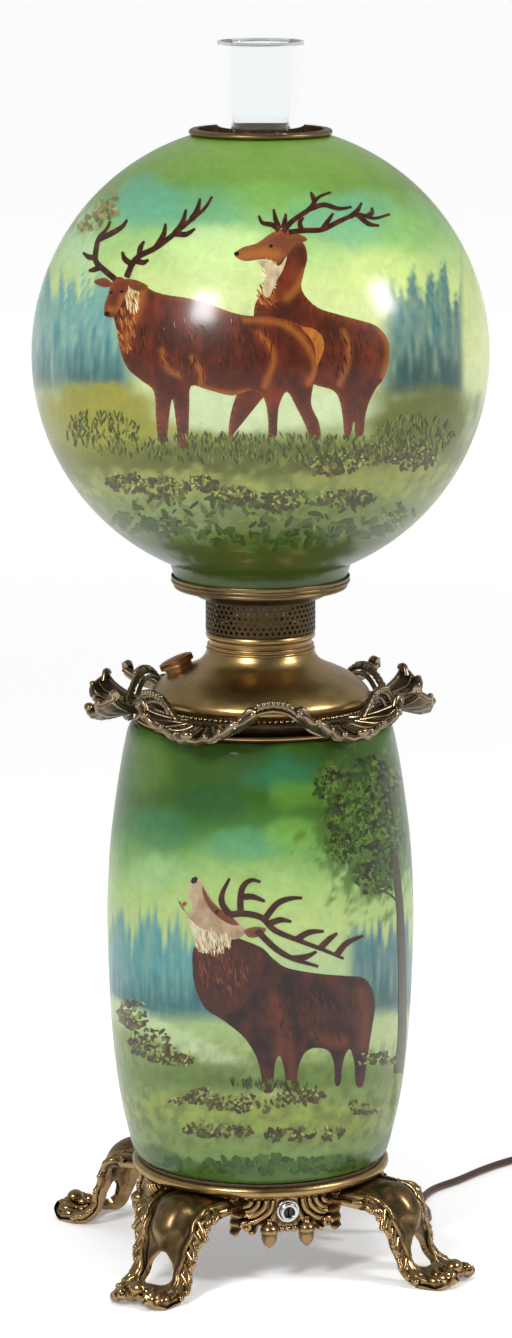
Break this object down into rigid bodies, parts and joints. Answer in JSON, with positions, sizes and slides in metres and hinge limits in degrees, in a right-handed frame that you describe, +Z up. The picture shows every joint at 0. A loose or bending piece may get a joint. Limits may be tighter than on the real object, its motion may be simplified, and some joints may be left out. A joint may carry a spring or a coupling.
{
  "type": "oil lamp",
  "caption": "Electrified parlour oil lamp: painted ball shade, clear chimney, brass font in a cast crown, painted barrel body on a four-legged base.",
  "frame": {"origin": "on the floor, under the lamp's vertical axis", "axes": "+Z up along the lamp's axis, front of the base (switch) towards -Y, cord leaves towards +X"},
  "size_m": [0.4135, 0.2796, 0.69],
  "materials": {
    "antique_casting": "dark antiqued cast brass, bright on its high edges",
    "spun_brass": "satin spun brass, lacquered",
    "base_brass": "aged cast brass with dark recesses",
    "steel": "zinc plated steel",
    "nickel": "worn nickel plate",
    "painted_opal": "fired opal glass with enamel landscape painting",
    "clear_glass": "clear lamp glass",
    "felt": "brown felt",
    "cork": "cork",
    "porcelain": "glazed porcelain",
    "flex": "brown moulded two-core flex",
    "plug_moulding": "brown moulded plug",
    "switch_moulding": "dark phenolic moulding",
    "filament": "glass stem and tungsten wire"
  },
  "bodies": {
    "lamp_base": {"base_casting": "base_brass", "check_disc": "steel", "tie_pipe": "steel", "pipe_nut_lower": "steel", "pipe_nut_upper": "steel", "pipe_bushing": "switch_moulding", "seat_ring": "spun_brass", "seat_felt": "felt", "collar_felt": "felt", "body_collar": "spun_brass", "body_glass": "painted_opal", "crown_casting": "antique_casting", "font_cup": "spun_brass", "switch_bushing": "nickel", "switch_nut": "nickel", "switch_body": "switch_moulding", "cord_gland": "switch_moulding", "power_cord": "flex", "power_cord_coil": "flex", "plug_body": "plug_moulding", "plug_blades": "nickel"},
    "font": {"font_dome": "spun_brass", "font_tank": "spun_brass", "draught_tube": "spun_brass", "wick_tube": "spun_brass", "font_collar": "spun_brass", "filler_neck": "spun_brass", "filler_washer": "cork", "burner_collar": "spun_brass", "air_basket": "spun_brass", "shade_ring": "spun_brass", "chimney_gallery": "spun_brass", "socket_base": "porcelain", "socket_shell": "spun_brass", "screw_shell": "spun_brass", "contact_disc": "spun_brass", "inner_lead": "flex"},
    "shade": {"globe_shade": "painted_opal", "globe_rim": "spun_brass"},
    "chimney_glass": {"chimney": "clear_glass"},
    "oil_cap": {"filler_cap": "spun_brass"},
    "winder": {"winder_spindle": "spun_brass", "winder_knob": "spun_brass"},
    "wick": {"wick_carrier": "spun_brass"},
    "bulb": {"bulb_cap": "nickel", "bulb_glass": "clear_glass", "bulb_filament": "filament"},
    "switch": {"switch_stem": "switch_moulding"}
  },
  "joints": [
    {"name": "font_lift", "type": "slide", "parent": "lamp_base", "child": "font", "axis": [0, 0, 1], "range_m": [0, 0.1]},
    {"name": "shade_lift", "type": "slide", "parent": "font", "child": "shade", "axis": [0, 0, 1], "range_m": [0, 0.3]},
    {"name": "chimney_lift", "type": "slide", "parent": "font", "child": "chimney_glass", "axis": [0, 0, 1], "range_m": [0, 0.16]},
    {"name": "filler_cap_turn", "type": "hinge", "parent": "font", "child": "oil_cap", "pos_m": [-0.04375, 0.01422, 0.3386], "axis": [-0.3868, 0.1257, 0.9135], "continuous": true},
    {"name": "winder_turn", "type": "hinge", "parent": "font", "child": "winder", "pos_m": [0, 0.03, 0.354], "axis": [0, -1, 0], "range_deg": [0, 300]},
    {"name": "wick_raise", "type": "slide", "parent": "font", "child": "wick", "axis": [0, 0, 1], "range_m": [0, 0.0185]},
    {"name": "bulb_turn", "type": "hinge", "parent": "font", "child": "bulb", "pos_m": [0, 0, 0.395], "axis": [0, 0, 1], "continuous": true},
    {"name": "switch_turn", "type": "hinge", "parent": "lamp_base", "child": "switch", "pos_m": [0, -0.066, 0.042], "axis": [0, -1, 0], "continuous": true}
  ],
  "couplings": [
    {"joint": "wick_raise", "follows": "winder_turn", "m_per_rad": 0.0035}
  ]
}
